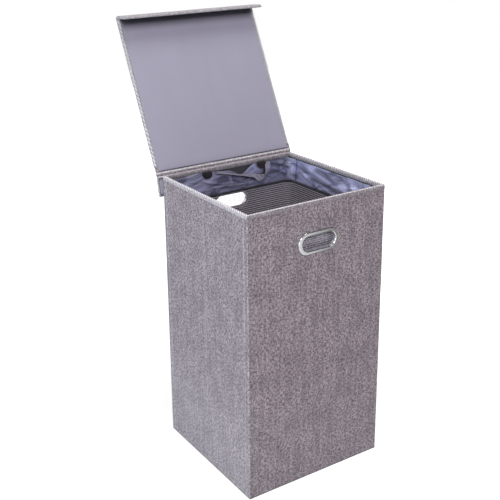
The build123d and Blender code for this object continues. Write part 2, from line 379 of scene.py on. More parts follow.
def linen(name, light, dark, edge, pitch=1.15 * MM, run=9.0, roped=False):
    """Heathered linen-look cloth of short thick and thin yarns; lighter where its attribute layer marks worn
    cloth and painted light, roped if asked; painted shade in tight recesses.
    """
    t = Tree(name)
    flat = t.flat()
    shade, height = weave(t, flat, pitch, run)
    dash_over = t.noise(flat, (1 / (6.4 * MM), 1 / (3.0 * MM)), 3.0, 0.75, 5)
    dash_up = t.noise(flat, (1 / (2.6 * MM), 1 / (6.6 * MM)), 3.0, 0.75, 11)
    dashes = t.remap(dash_over + dash_up, 0.84, 1.16)
    cloud = t.noise(flat, 26.0, 3.0, 0.6) + t.noise(flat, (130.0, 7.0), 2.0, 0.6)
    grain = t.remap(shade, 0.32, 0.68) * 0.26 + dashes * 0.74
    base = t.mix(grain, dark, light)
    base = t.mix(t.remap(cloud, 0.82, 1.22, 0.0, 0.36), base, dark)
    rubbed_and_painted_light = t.wear_and_painted_light() * t.remap(dashes, 0.0, 1.0, 0.5, 1.0)
    relief = height * 0.7 + shade * 0.6
    if roped:
        parts = t.split(t.scaled(flat, 2 * pi / ROPE, 1.3 * pi / ROPE))
        twist = t.remap(t.math("SINE", parts[0] + parts[1]), -0.7, 0.6)
        hem = t.remap(t.wear_and_painted_light(), 0.5, 0.8)
        groove = hem * (1.0 - twist)
        base = t.mix(groove, base, dark)
        rubbed_and_painted_light = rubbed_and_painted_light * t.remap(groove, 0.0, 1.0, 1.0, 0.35)
        relief = relief + twist * hem * 3.0
    # painted shade: darker within 3 mm of another piece, a dark contact line round the frames and under the
    # rim tape
    base = t.painted_nook_shade(t.mix(rubbed_and_painted_light, base, edge), 3 * MM, 0.45, 0.9, 0.35)
    return t.finish(base, t.remap(grain, 0.0, 1.0, 0.95, 0.8), t.bump(relief, 0.3 * MM, 0.7), 0.25, 0.25)


def smooth_lining(name, light, dark, sheen=0.15, darkest_painted_shade=0.19):
    """Plain close-woven lining with faint pull lines; painted deep shade where it runs into folds and
    recesses, and a painted dark line of crease shade where its attribute layer says.
    """
    t = Tree(name)
    flat = t.flat()
    shade, height = weave(t, flat, 0.45 * MM, 14.0, 3.0)
    pull = t.noise(flat, (24.0, 5.0), 3.0, 0.6)
    soft = t.noise(flat, 9.0, 2.0, 0.5)
    base = t.mix(t.remap(shade * 0.75 + pull * 0.25), dark, light)
    base = t.mix(t.remap(soft, 0.3, 0.7, 0.0, 0.3), base, dark)
    # painted shade: a near-black line where the attribute layer says, and darker within 30 mm of a fold, as
    # under the lid's lip
    base = t.painted_nook_shade(t.mix(t.wear_and_painted_light(), base, (0.03, 0.028, 0.035)), 30 * MM, 0.54, 0.94, darkest_painted_shade)
    normal = t.bump(pull, 0.5 * MM, 0.06, t.bump(height, 0.08 * MM, 0.5))
    return t.finish(base, t.remap(shade, 0.3, 0.7, 0.72, 0.55), normal, 0.3, sheen, 0.4)


def satin(name, light, dark, seam):
    """Shiny liner cloth with sharp little creases, streaked light and dark along them as painted sheen
    highlights; towards the seam colour where its attribute layer marks seams, hem edges and painted shade.
    """
    t = Tree(name)
    flat = t.flat()
    shade, height = weave(t, flat, 0.4 * MM, 20.0, 9.0)
    slanted = t.add("Mapping", flat, sockets={"Rotation": (0, 0, radians(-17)), "Scale": (16, 38, 1)})
    creases = t.noise(slanted, 1.0, 2.5, 0.5, distortion=1.3)
    crumple = t.noise(flat, (110.0, 150.0), 2.0, 0.5, 4, distortion=0.6)
    # painted sheen: the colour swings dark to light along slanted crease streaks, as highlights on the folds
    painted_sheen_tone = (shade + t.noise(flat, 480.0, 1.0, 0.5)) * 0.1 + creases * 0.8
    base = t.mix(t.wear_and_painted_light(), t.mix(t.remap(painted_sheen_tone, 0.395, 0.605), dark, light), seam)
    # painted shade: darker within 14 mm of the binding, the rim and the tabs
    base = t.painted_nook_shade(base, 14 * MM, 0.42, 0.9, 0.2)
    normal = t.bump(abs(creases - 0.5) * -1.0, 6 * MM, 0.3, t.bump(height, 0.04 * MM, 0.4))
    normal = t.bump(crumple, 1.0 * MM, 0.15, normal)
    return t.finish(base, t.remap(creases, 0.3, 0.7, 0.45, 0.3), normal, 0.8, 0.25, 0.3, metallic=0.5)


def net(name, light, dark, wide, tall, bar, strand):
    """See-through knitted net: rows of oblong holes, each row set off half a hole from the next."""
    t = Tree(name)
    flat = t.flat()
    parts = t.split(t.scaled(flat, 1 / wide, 1 / tall))
    along = t.math("FRACT", parts[0] + t.math("FLOOR", parts[1]) * 0.5)
    yarn = t.noise(flat, 1100.0, 2.0, 0.6)
    slack = t.noise(flat, 160.0, 2.0, 0.5)
    from_row = abs(t.math("FRACT", parts[1]) - t.remap(slack, 0.3, 0.7, 0.44, 0.56))
    from_strand = abs(along - 0.5)
    row_thread = t.remap(from_row, bar * 0.42, bar * 0.58, 1.0, 0.0)
    strand_thread = t.remap(from_strand, strand * 0.4, strand * 0.6, 1.0, 0.0)
    # painted light: more light threads where the attribute layer says, behind the front hand hole
    painted_lit_threads = t.wear_and_painted_light() * t.remap(slack, 0.3, 0.7, 0.25, 1.0)
    thread = t.math("MAXIMUM", t.math("MAXIMUM", row_thread, strand_thread), painted_lit_threads)
    base, rough = t.mix(t.remap(yarn), dark, light), t.remap(yarn, 0.3, 0.7, 0.6, 0.8)
    round_thread = t.bump(1.0 - t.math("MINIMUM", from_row, from_strand), 0.5 * MM, 0.6)
    return t.finish(base, rough, round_thread, 0.3, 0.1, alpha=thread)


def fuzzy_tape(name, light, dark, pitch=1.4 * MM):
    """Hook or loop tape: rows of small stiff tufts."""
    t = Tree(name)
    flat = t.flat()
    rows = {"Scale": 1 / pitch, "Randomness": 0.7}
    tufts = t.add("TexVoronoi", flat, sockets=rows, voronoi_dimensions="2D")
    fuzz = t.noise(flat, 1600.0, 3.0, 0.7)
    base = t.mix(t.remap(tufts + fuzz, 0.5, 1.2), light, dark)
    normal = t.bump(tufts * -0.8 + fuzz * 0.5, 0.5 * MM, 0.9)
    return t.finish(base, t.remap(fuzz, 0.3, 0.7, 0.8, 0.95), normal, 0.2, 0.25)


def bright_metal(name, base, rough):
    """Plated metal with faint wiping marks."""
    t = Tree(name)
    place = t.place()
    smears = t.noise(place, (160.0, 160.0, 420.0), 4.0, 0.6, dimensions="3D")
    grain = t.noise(place, 2600.0, 2.0, 0.5, dimensions="3D")
    base = t.mix(t.remap(smears, 0.35, 0.65), tuple(c * 0.93 for c in base), base)
    rough = t.remap(smears, 0.3, 0.7, rough, rough + 0.1)
    return t.finish(base, rough, t.bump(grain, 0.02 * MM, 0.25), metallic=1.0)


def pressed_board(name, light, dark):
    """Grey pressed board with fibres."""
    t = Tree(name)
    place = t.place()
    fibre = t.noise(place, (260.0, 260.0, 900.0), 4.0, 0.65, dimensions="3D")
    speck = t.noise(place, 1400.0, 2.0, 0.6, dimensions="3D")
    base = t.mix(t.remap(fibre), dark, light)
    base = t.mix(t.remap(speck, 0.62, 0.75), base, tuple(c * 0.55 for c in dark))
    return t.finish(base, t.remap(fibre, 0.3, 0.7, 0.85, 0.95), t.bump(fibre, 0.1 * MM, 0.5))


def felt(name, light, dark):
    """Bonded black underside cloth with its dimpled print."""
    t = Tree(name)
    flat = t.flat()
    dimples = t.add("TexVoronoi", flat, sockets={"Scale": 700.0, "Randomness": 0.1}, voronoi_dimensions="2D")
    fibre = t.noise(flat, 900.0, 4.0, 0.7, distortion=0.6)
    base, rough = t.mix(t.remap(fibre), dark, light), t.remap(fibre, 0.3, 0.7, 0.85, 1.0)
    return t.finish(base, rough, t.bump(dimples + fibre, 0.15 * MM, 0.6))


OUTER_CLOTH = (0.55, 0.487, 0.54), (0.078, 0.060, 0.075)
# the third colour of the outer, lid and rim cloths is their lighter look for worn spots and for painted
# light; the satin's seam colour also gives its painted shade
materials = {
    "cover": linen("outer_cloth", *OUTER_CLOTH, (0.86, 0.88, 0.90)),
    "lid": linen("lid_cloth", *OUTER_CLOTH, (0.81, 0.82, 0.85), roped=True),
    "tape": linen(
        "rim_cloth", (0.53, 0.49, 0.53), (0.13, 0.115, 0.13), (0.98, 0.93, 0.98), 0.9 * MM, 6.0, True
    ),
    "lining": smooth_lining("lid_lining_cloth", (0.385, 0.377, 0.474), (0.344, 0.336, 0.423)),
    # the wall lining's dark grey is partly painted shade for the inside of the hamper
    "wall": smooth_lining("wall_lining_cloth", (0.075, 0.072, 0.082), (0.05, 0.048, 0.056), 0.05, 0.75),
    "flap": smooth_lining("flap_lining_cloth", (0.5, 0.49, 0.6), (0.44, 0.43, 0.53), 0.15, 0.7),
    "satin": satin("liner_satin", (0.62, 0.65, 0.95), (0.205, 0.213, 0.335), (0.01, 0.01, 0.02)),
    "net": net("liner_net", (0.71, 0.69, 0.77), (0.51, 0.49, 0.57), 4.2 * MM, 4.6 * MM, 0.2, 0.1),
    "strap": satin("strap_satin", (0.46, 0.44, 0.53), (0.25, 0.24, 0.31), (0.66, 0.63, 0.68)),
    "seam": linen("seam_binding", (0.05, 0.05, 0.075), (0.012, 0.012, 0.02), (0.09, 0.09, 0.11), 0.7 * MM),
    "hook": fuzzy_tape("hook_tape", (0.022, 0.015, 0.024), (0.007, 0.005, 0.008)),
    "loop": fuzzy_tape("loop_tape", (0.62, 0.61, 0.62), (0.4, 0.39, 0.4), 0.9 * MM),
    "chrome": bright_metal("handle_chrome", (0.88, 0.87, 0.89), 0.1),
    "steel": bright_metal("washer_steel", (0.6, 0.6, 0.6), 0.32),
    "board": pressed_board("grey_board", (0.46, 0.42, 0.37), (0.34, 0.31, 0.27)),
    "felt": felt("underside_felt", (0.03, 0.03, 0.033), (0.012, 0.012, 0.014)),
    "thread": linen("sewing_thread", (0.7, 0.68, 0.7), (0.5, 0.48, 0.5), (0.7, 0.7, 0.7), 0.3 * MM, 3.0),
}


def clad(obj, material):
    obj.data.materials.clear()
    obj.data.materials.append(materials[material])


def dress(obj, material, slot, *replaces, body="root"):
    """Gives a finished piece its material, body and the CAD nodes it stands for; slot is not used."""
    clad(obj, material)
    if body:
        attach(obj, body)
    if replaces:
        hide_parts(*replaces)


# ---- sizes from the frame ----
SIDES = ("front", "rear", "left", "right")
front_low, front_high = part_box("front_cover")
frame_low, frame_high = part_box("front_handle_frame")
rim_low, rim_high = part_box("rim_tape")
band_low, band_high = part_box("liner_band_rear")
net_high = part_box("liner_net_rear")[1]
COVER_X, COVER_Y = -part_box("left_cover")[0].x, -front_low.y
FOOT_Z, RIM_Z = front_low.z, rim_high.z
INSIDE_X, INSIDE_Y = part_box("right_lining")[0].x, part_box("rear_lining")[0].y
BAND_X, BAND_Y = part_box("liner_band_right")[1].x, band_high.y
BAND_FOOT, BAND_TOP = band_low.z, band_high.z
NET_X, NET_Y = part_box("liner_net_right")[1].x, net_high.y
NET_FOOT, NET_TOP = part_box("liner_net_floor")[0].z, net_high.z

# the hand holes' round-ended slots in the cloth, their edges hidden by the bright frames
HOLE_Z = (frame_low.z + frame_high.z) / 2
HOLE_WIDE, HOLE_TALL = frame_high.x - frame_low.x - 14 * MM, frame_high.z - frame_low.z - 12 * MM
SLOT_RUN, SLOT_RADIUS = (HOLE_WIDE - HOLE_TALL) / 2, HOLE_TALL / 2

joints = {joint["name"]: joint for joint in frame["joints"]}
HINGE, CREASE = (Vector(joints[name]["pos_m"]) for name in ("lid_hinge", "lip_fold"))
LID_OPEN = -radians(joints["lid_hinge"]["range_deg"][0])
LIP_FOLD = radians(joints["lip_fold"]["range_deg"][1])


def turned(y, z, angle):
    """A point turned about the X axis."""
    return y * np.cos(angle) - z * np.sin(angle), y * np.sin(angle) + z * np.cos(angle)


def side_view(node, pivot):
    """Y and Z of a node's points, from pivot."""
    obj = frame["nodes"][node]
    return (np.array([obj.matrix_world @ v.co for v in obj.data.vertices]) - np.array(pivot)).T[1:]


def span(node, pivot, angle):
    """Extent of a node along Y and Z once it is turned by angle about the X axis through pivot."""
    y, z = turned(*side_view(node, pivot), angle)
    return (y.min(), z.min()), (y.max(), z.max())


leaf_low, leaf_high = span("lid_board", HINGE, LID_OPEN)
skin_low, skin_high = span("lid_cover", HINGE, LID_OPEN)
HINGE_CLOTH_HALF = -skin_low[1]  # the hinge line lies this far above the lining's face
HINGE_CLOTH_LONG = -leaf_high[0]
LID_THICK = skin_high[1] - skin_low[1]
LID_REACH = -leaf_low[0]  # from the hinge line to the crease of the lip
ARC_LENGTH = LID_THICK * LIP_FOLD
LIP_START = LID_REACH + ARC_LENGTH
LID_HALF, LINING_HALF = (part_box(node)[1].x for node in ("lid_cover", "lid_lining"))
LID_BORDER = LID_HALF - LINING_HALF
LEAF_START, LINING_START = HINGE_CLOTH_LONG - 1 * MM, -skin_high[0]
LEAF_END = LIP_START - span("lip_cover", CREASE, LID_OPEN - LIP_FOLD)[0][0]


def lid_place(x, q, h):
    """Points of the lid: q from the hinge along the leaf and round into the lip, h above the lining."""
    bend = np.clip((q - LID_REACH) / ARC_LENGTH, 0, 1) * LIP_FOLD
    y, z = turned(-np.maximum(q - LIP_START, 0), h, bend)
    y = np.where(q > LID_REACH, y - LID_REACH, -q)
    z = np.where(q > LID_REACH, z, h) - HINGE_CLOTH_HALF
    y, z = turned(y, z, -LID_OPEN)
    return points(x, y + HINGE.y, z + HINGE.z)


def pushed(spots, out, z):
    """Points at the spots of a loop, pushed that far out of it, at height z."""
    px, py, nx, ny = spots
    return points(px + nx * out, py + ny * out, z)


# ---- outer cloth and wall lining ----
cover_loop = Loop(COVER_X, COVER_Y, 2.0 * MM)
lining_loop = Loop(INSIDE_X, INSIDE_Y, 1.5 * MM)
SIDE_MIDDLES = cover_loop.middles[[2, 6]]
SEAM_LINES = [m + end * (COVER_Y - SEAM_LAP) for m in SIDE_MIDDLES for end in (-1, 1)]


def in_slot(x, z):
    """Whether a spot on a hand hole's plane is inside its slot."""
    return np.hypot(np.maximum(np.abs(x) - SLOT_RUN, 0), z - HOLE_Z) < SLOT_RADIUS


def snapped_to_slot(x, z, grip):
    """Moves spots within grip of the slot's outline onto it."""
    core = np.clip(x, -SLOT_RUN, SLOT_RUN)
    dx, dz = x - core, z - HOLE_Z
    away = np.hypot(dx, dz)
    factor = np.where(np.abs(away - SLOT_RADIUS) < grip, SLOT_RADIUS / np.maximum(away, 1e-9), 1)
    return core + dx * factor, HOLE_Z + dz * factor


def wall_wrap(name, loop, relief, wear_and_painted_light=None):
    """Cloth round all four walls, with the hand holes' slots in the front and rear."""
    left, front, right = loop.middles[2:8:2]
    step = 5 * MM
    near = [m + d * MM for m in (left, right) for d in (-3, -1.5, 0, 1.5, 3)]
    near += [m + d * MM for m in SEAM_LINES for d in (-0.8, 0, 0.8, 1.6)]
    vs = ladder(FOOT_Z, front_high.z, step, (FOOT_Z + 1 * MM, FOOT_Z + 2.5 * MM))

    def along(u):
        """Distance from the middle of the front or rear, whichever is nearer."""
        return np.where(np.abs(u - front) < front / 2, u - front, np.where(u > front, u - loop.length, u))

    def on_end(u):
        return np.abs(along(u)) < loop.half_x - loop.radius

    def keep(u, v):
        return ~(on_end(u) & in_slot(along(u), v))

    def place(u, v):
        d = along(u)
        moved_d, moved_v = snapped_to_slot(d, v, 0.72 * step)
        v = np.where(on_end(u), moved_v, v)
        spots = loop.at(u + np.where(on_end(u), moved_d - d, 0))
        return pushed(spots, relief(u, v, *spots[:2]), v)

    return cloth_grid(name, place, loop.stations(step, near), vs, closed=True, keep=keep, wear_and_painted_light=wear_and_painted_light)


def cover_relief(u, v, px, py):
    """The cloth puckers a little, dips over the gap between the side boards and is lapped at its seams."""
    dip = sum(bell(u, m, 1.6 * MM) for m in SIDE_MIDDLES)
    pucker = wobble(px, py, v, 45 * MM, 3.0)
    lap = sum(smooth((abs(u - m) - COVER_Y + SEAM_LAP) / MM) * (abs(u - m) < COVER_Y) for m in SIDE_MIDDLES)
    return -0.55 * MM * dip + 0.22 * MM * pucker + 0.4 * MM * lap - 0.1 * MM


def cover_wear_and_painted_light(u, v):
    """Lighter lines: a painted highlight along each corner, and worn cloth at each seam and side fold; also
    painted light, lighter towards the floor, most on the left and right walls.
    """
    # painted highlight along each corner; worn lighter lines at each seam and side fold
    lines = [(m, 1.1, 0.24) for m in cover_loop.middles[1::2]]
    lines += [(m, 0.9, 0.4) for m in SEAM_LINES] + [(m, 2.2, 0.16) for m in SIDE_MIDDLES]
    rub_and_highlight = np.max([share * bell(u, m, width * MM) for m, width, share in lines], axis=0)
    # painted light: lighter towards the floor, most on the left and right walls
    low = smooth((0.3 - v) / 0.22) * np.where(np.abs(cover_loop.at(u)[2]) > 0.5, 0.13, 0.03)
    return np.maximum(rub_and_highlight, low)


def lining_relief(u, v, px, py):
    return 0.15 * MM + 0.2 * MM * wobble(px, py, v, 60 * MM, 8.0)


cover = wall_wrap("cover_cloth", cover_loop, cover_relief, cover_wear_and_painted_light)
thickened(cover, COVER_THICK)
dress(cover, "cover", "cover_cloth", *(f"{side}_cover" for side in SIDES))

wall_lining = wall_wrap("wall_lining_cloth", lining_loop, lining_relief)
thickened(wall_lining, 0.5 * MM, 1.0)
dress(wall_lining, "wall", "wall_lining", *(f"{side}_lining" for side in SIDES))

# ---- rim tape and its stitches ----
tape_loop = Loop(rim_high.x, rim_high.y, 3.0 * MM)
TAPE_DROP = rim_high.z - rim_low.z
TAPE_TOP = 5.9 * MM  # over the wall's two cloths and its board


def tape_profile():
    """(outward offset, height) round the folded tape, from its outer lower edge to its inner one."""
    bends = [pi / 2 * k / 5 for k in range(1, 5)]
    inner = TAPE_BEND - TAPE_TOP
    path = [(0, -TAPE_DROP), (0.05 * MM, -6.5 * MM), (0, -4 * MM), (0, -TAPE_BEND)]
    path += [(-TAPE_BEND + TAPE_BEND * cos(a), -TAPE_BEND + TAPE_BEND * sin(a)) for a in bends]
    path += [(-TAPE_BEND, 0), (inner, 0)]
    path += [(inner - TAPE_BEND * sin(a), -TAPE_BEND + TAPE_BEND * cos(a)) for a in bends]
    path += [(-TAPE_TOP, -TAPE_BEND), (-TAPE_TOP, -TAPE_INNER)]
    return np.array(path)


profile = tape_profile()
profile_length = np.concatenate([[0], np.cumsum(np.linalg.norm(np.diff(profile, axis=0), axis=1))])


def tape_place(u, v):
    """The tape is drawn in at its stitches and a little uneven along its folds; v runs across it."""
    offset, high = (np.interp(v, profile_length, side) for side in profile.T)
    spots = tape_loop.at(u)
    px, py = spots[:2]
    rope = 0.5 + 0.5 * np.cos(2 * pi * u / STITCH_PITCH)
    pull = bell(v, 4.5 * MM, 1.6 * MM) * rope
    offset = offset - 0.35 * MM * pull + 0.12 * MM * wobble(px, py, v, 9 * MM, 5.0)
    high = high + 0.25 * MM * (rope - 0.5) * (v > 9 * MM) + 0.12 * MM * wobble(px, py, v, 22 * MM, 6.0)
    return pushed(spots, offset, RIM_Z + np.minimum(high, 0))


def tape_painted_light(u, v):
    """Painted light: lighter all over the sides, along the outer edge in front, and least at the rear, where
    the rim is in shade.
    """
    facing = tape_loop.at(u)[3]
    edge = bell(v, 9.2 * MM, 1.3 * MM)
    sides = 0.4 + 1.1 * bell(v, 9.5 * MM, 3.2 * MM) + 0.5 * (v > 13 * MM)
    return np.where(facing < -0.5, 1.7 * edge, np.where(facing > 0.5, 0.1 + 0.2 * edge, sides))


rim_columns = tape_loop.stations(STITCH_PITCH / 4)
rim = cloth_grid("rim_binding", tape_place, rim_columns, profile_length, closed=True, wear_and_painted_light=tape_painted_light)
thickened(rim, TAPE_THICK)
for vertex in rim.data.vertices:  # the lid shuts down on a level rim
    vertex.co.z = min(vertex.co.z, RIM_Z - 0.05 * MM)
dress(rim, "tape", "rim_tape", "rim_tape")


def stitches(name, spots, length, radius):
    """A row of sewn stitches: each spot is (place, direction, outward)."""
    rings = ((-0.5, 0.25), (-0.36, 0.85), (0.0, 1.0), (0.36, 0.85), (0.5, 0.25))  # (share of length, swell)
    sides = 6
    places, faces, corners = [], [], []
    for place, along, out in spots:
        across = along.cross(out).normalized()
        first = len(places)
        for share, swell in rings:
            for a in 2 * pi * np.arange(sides) / sides:
                rise = out * (sin(a) * 0.8 + 0.45 * (1 - 4 * share * share))
                places.append(place + along * share * length + (across * cos(a) + rise) * radius * swell)
        for start in range(first, len(places) - sides, sides):
            for k in range(sides):
                a, b = start + k, start + (k + 1) % sides
                faces.append((a, b, b + sides, a + sides))
                low, high = k * radius, (k + 1) * radius
                corners += [(0, low), (0, high), (length, high), (length, low)]
        faces += [range(first + sides - 1, first - 1, -1), range(len(places) - sides, len(places))]
        corners += [(0.0, 0.0)] * 2 * sides
    return build(name, places, faces, corners)


stitch_count = round(tape_loop.length / STITCH_PITCH)
stitch_middles = np.arange(0.5, stitch_count) * tape_loop.length / stitch_count
rim_spots = [
    (Vector((px, py, RIM_Z - 4.6 * MM)), Vector((-ny, nx, 0)), Vector((nx, ny, 0)))
    for px, py, nx, ny in zip(*tape_loop.at(stitch_middles))
]
rim_stitches = stitches("rim_stitches", rim_spots, 3.1 * MM, 0.3 * MM)
dress(rim_stitches, "thread", "rim_tape")

# ---- underside and base panel ----
bottom_low, bottom_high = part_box("bottom_cloth")
bottom_xs, bottom_ys = (ladder(bottom_low[i], bottom_high[i], 14 * MM) for i in (0, 1))
bottom_levels = np.linspace(bottom_low.z, bottom_high.z, 3)
underside = rounded_slab("underside_cloth", bottom_xs, bottom_ys, bottom_levels, 0.5 * MM)
dress(underside, "felt", "bottom_cloth", "bottom_cloth")

base_low, base_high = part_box("base_cover")
base_xs, base_ys = (ladder(base_low[i], base_high[i], 10 * MM) for i in (0, 1))
base_cloth = rounded_slab(
    "base_panel_cloth", base_xs, base_ys, np.linspace(base_low.z, base_high.z, 4), 1.5 * MM,
    swell=lumpy(-0.25 * MM, 30 * MM, middle=0.5, on_face=lambda z: z > base_high.z - 1e-6),
)
dress(base_cloth, "wall", "wall_lining", "base_cover", body="base")

# ---- liner band, binding and net ----
band_loop = Loop(BAND_X, BAND_Y, 20 * MM)
net_loop = Loop(NET_X, NET_Y, 16 * MM)
BAND_HEIGHT = BAND_TOP - BAND_FOOT
# folds of the slack band, in mm: from and to (along the wall, below its top), sag, half width, height
SIDE_FOLDS = (
    (40, 2, 226, 44, 2, 10, 6.0), (120, 0, 206, 32, 2, 7, 3.0), (30, 18, 134, 58, 2, 5, 3.0),
    (205, 12, 270, 44, 3, 9, 4.5), (250, 6, 300, 36, 3, 8, 3.6),
)
END_FOLDS = (
    (-80, 16, 60, 22, 12, 5, 4.6), (-68, 32, 50, 38, 5, 4, 3.0), (92, 14, 152, 40, -3, 5, 4.0),
    (120, 4, 158, 20, 2, 4, 3.4), (-150, 8, -92, 40, 3, 6, 4.0), (-140, 34, -70, 44, 3, 4, 2.6),
)


def fold_heights(along, down, lines):
    """Height of the folds: each is a soft crest along its sagging line, fading out at both ends."""
    total = np.zeros(len(along))
    for a0, d0, a1, d1, sag, half, high in lines:
        share = (along / MM - a0) / (a1 - a0)
        crest = d0 + (d1 - d0) * share + 4 * sag * share * (1 - share)
        total += high * MM * smooth(share * 5) * smooth((1 - share) * 5) * bell(down / MM, crest, half)
    return total


def band_place(u, v):
    """The satin hangs off the wall at its foot and falls into folds between its tabs."""
    px, py, nx, ny = spots = band_loop.at(u)
    below = BAND_TOP - v
    down = below / BAND_HEIGHT
    on_side, on_end = smooth((np.abs(nx) - 0.5) * 4), smooth((np.abs(ny) - 0.5) * 4)
    crests = on_side * fold_heights(BAND_Y - py, below, SIDE_FOLDS)
    crests += on_end * fold_heights(px, below, END_FOLDS)
    fine = 0.5 * np.abs(wobble(px, py, v * 1.3, 8 * MM, 7.0))
    crumple = (0.3 + 1.3 * on_end) * MM * (np.abs(wobble(px, py, v * 1.6, 17 * MM, 2.0)) + fine)
    crease = 1.1 * MM * np.abs(wobble(px + py, 0 * px, v * 0.6, 30 * MM, 5.0))
    free = np.sin(pi * np.clip(0.1 + 0.84 * down, 0, 1))
    depth = 0.7 * MM + 3.6 * MM * smooth(down) + free * (crests + crumple + crease)
    between = on_end * np.clip(1 - (px / (60 * MM)) ** 2, 0, 1)
    from_middle = np.abs(px)
    outside = smooth((from_middle - 92 * MM) / (30 * MM)) * smooth((152 * MM - from_middle) / (20 * MM))
    side_droop = on_side * (3.2 * MM + 0.8 * MM * wobble(px, py, 0 * px, 40 * MM, 4.0))
    rear_dip = 15 * MM * (ny > 0.5) * bell(px, 27 * MM, 21 * MM)
    droop = 5 * MM * between + 2.0 * MM * on_end * outside + side_droop + rear_dip
    return pushed(spots, -depth - 1.6 * MM * between * (1 - down), v - droop * (1 - smooth(down * 1.2)))


def band_seams_and_painted_shade(u, v):
    """Dark lines at the upright seams and the lower hem; and painted shade: all but the right side is darker,
    most towards the two ends of the rear.
    """
    px, py, nx, ny = band_loop.at(u)
    rear_end_painted_shade = smooth((px - 60 * MM) / (40 * MM)) + smooth((-105 * MM - px) / (30 * MM))
    on_rear = ny + 0.01 * nx > 0.5
    # painted shade on all but the right side, deeper towards the two ends of the rear
    shade = 0.2 - 0.2 * smooth((nx - 0.5) * 4) + 0.28 * on_rear * rear_end_painted_shade
    upright = bell(BAND_Y - py, BAND_SEAM, 1.3 * MM) * (np.abs(nx) > 0.9)
    hem = 0.7 * bell(v, BAND_FOOT + 1 * MM, 1.8 * MM)
    return np.maximum(np.maximum(upright, hem), shade)


def binding_place(u, v):
    """The roll between the band's foot and the top of the net; v goes round it."""
    px, py, _, _ = spots = band_loop.at(u)
    a = v / BINDING
    depth = 5.4 * MM + 0.9 * BINDING * np.cos(a) + 0.4 * MM * wobble(px, py, 0 * px, 24 * MM, 1.0)
    return pushed(spots, -depth, BAND_FOOT + 0.4 * MM + BINDING * np.sin(a))


def net_place(u, v):
    """The net hangs straight from the binding, slack between the corners."""
    spots = net_loop.at(u)
    down = np.clip((NET_TOP - v) / (NET_TOP - NET_FOOT), 0, 1)
    slack = 1.5 * MM * wobble(*spots[:2], v, 80 * MM, 12.0) * smooth(down * 8)
    return pushed(spots, 4.5 * MM * (1 - smooth(down * 9)) - slack, v)


def net_painted_light(u, v):
    """Painted light: the net's threads are drawn denser behind the front hand hole, so it shows lighter where
    light comes in through the hole.
    """
    px, _, _, ny = net_loop.at(u)
    across, up = px / (52 * MM), (v - HOLE_Z) / (26 * MM)
    return 0.55 * (ny < -0.5) * np.exp(-(across**4) - up**4)


def net_floor_place(x, y):
    return points(x, y, NET_FOOT + 0.5 * MM + 0.8 * MM * (0.5 + 0.5 * wobble(x, y, 0 * x, 60 * MM, 2.0)))


band_columns, band_rows = band_loop.stations(2.0 * MM, turns=12), ladder(BAND_FOOT, BAND_TOP, 1.7 * MM)
band = cloth_grid("liner_band", band_place, band_columns, band_rows, closed=True, wear_and_painted_light=band_seams_and_painted_shade)
thickened(band, 0.35 * MM, 0.0)
dress(band, "satin", "liner_satin", *(f"liner_band_{side}" for side in SIDES))

roll_turns = np.linspace(0, 2 * pi * BINDING, 11)
roll_columns = band_loop.stations(4 * MM, turns=5)
binding = cloth_grid("liner_binding", binding_place, roll_columns, roll_turns, closed=True)
dress(binding, "seam", "liner_seam", "liner_seam")

net_columns, net_rows = net_loop.stations(6 * MM, turns=5), ladder(NET_FOOT + 0.5 * MM, NET_TOP, 7 * MM)
net_wall = cloth_grid("liner_net_bag", net_place, net_columns, net_rows, closed=True, wear_and_painted_light=net_painted_light)
dress(net_wall, "net", "liner_net", *(f"liner_net_{side}" for side in SIDES))
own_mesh(net_wall)

floor_xs, floor_ys = (ladder(3 * MM - half, half - 3 * MM, 10 * MM) for half in (NET_X, NET_Y))
net_floor = cloth_grid("liner_net_base", net_floor_place, floor_xs, floor_ys)
dress(net_floor, "net", "liner_net", "liner_net_floor")
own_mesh(net_floor)


# ---- tabs and carry strap ----
def ribbon(name, centres, ways, width, thick, per=8, rounded=0.0):
    """A flat strap through centre points, and its length; ways gives its width direction at each."""
    centres = [Vector(c) for c in (centres[0], *centres, centres[-1])]
    ways = [Vector(w).normalized() for w in ways]
    path, sides = [], []
    for i in range(len(ways) - 1):
        p0, p1, p2, p3 = centres[i:i + 4]
        for t in np.arange(per) / per:
            second, third = 2 * p0 - 5 * p1 + 4 * p2 - p3, 3 * p1 - p0 - 3 * p2 + p3
            path.append(0.5 * (2 * p1 + (p2 - p0) * t + second * t**2 + third * t**3))
            sides.append(ways[i].lerp(ways[i + 1], smooth(t)).normalized())
    path, sides = np.array([*path, centres[-1]]), np.array([*sides, ways[-1]])
    us = np.concatenate([[0], np.cumsum(np.linalg.norm(np.diff(path, axis=0), axis=1))])

    def place(u, v):
        k = np.searchsorted(us, u)
        past = np.maximum(u - us[-1] + rounded, 0) / max(rounded, 1e-9)
        return path[k] + sides[k] * (v * np.sqrt(np.maximum(0.15, 1 - past**2)))[:, None]

    across = np.linspace(-0.5, 0.5, 7) * width
    obj = cloth_grid(name, place, us, across, wear_and_painted_light=lambda u, v: 0.3 * (np.abs(v) > 0.45 * width))
    return applied(thickened(obj, thick, 0.0), "SUBSURF", levels=1, render_levels=1), us[-1]


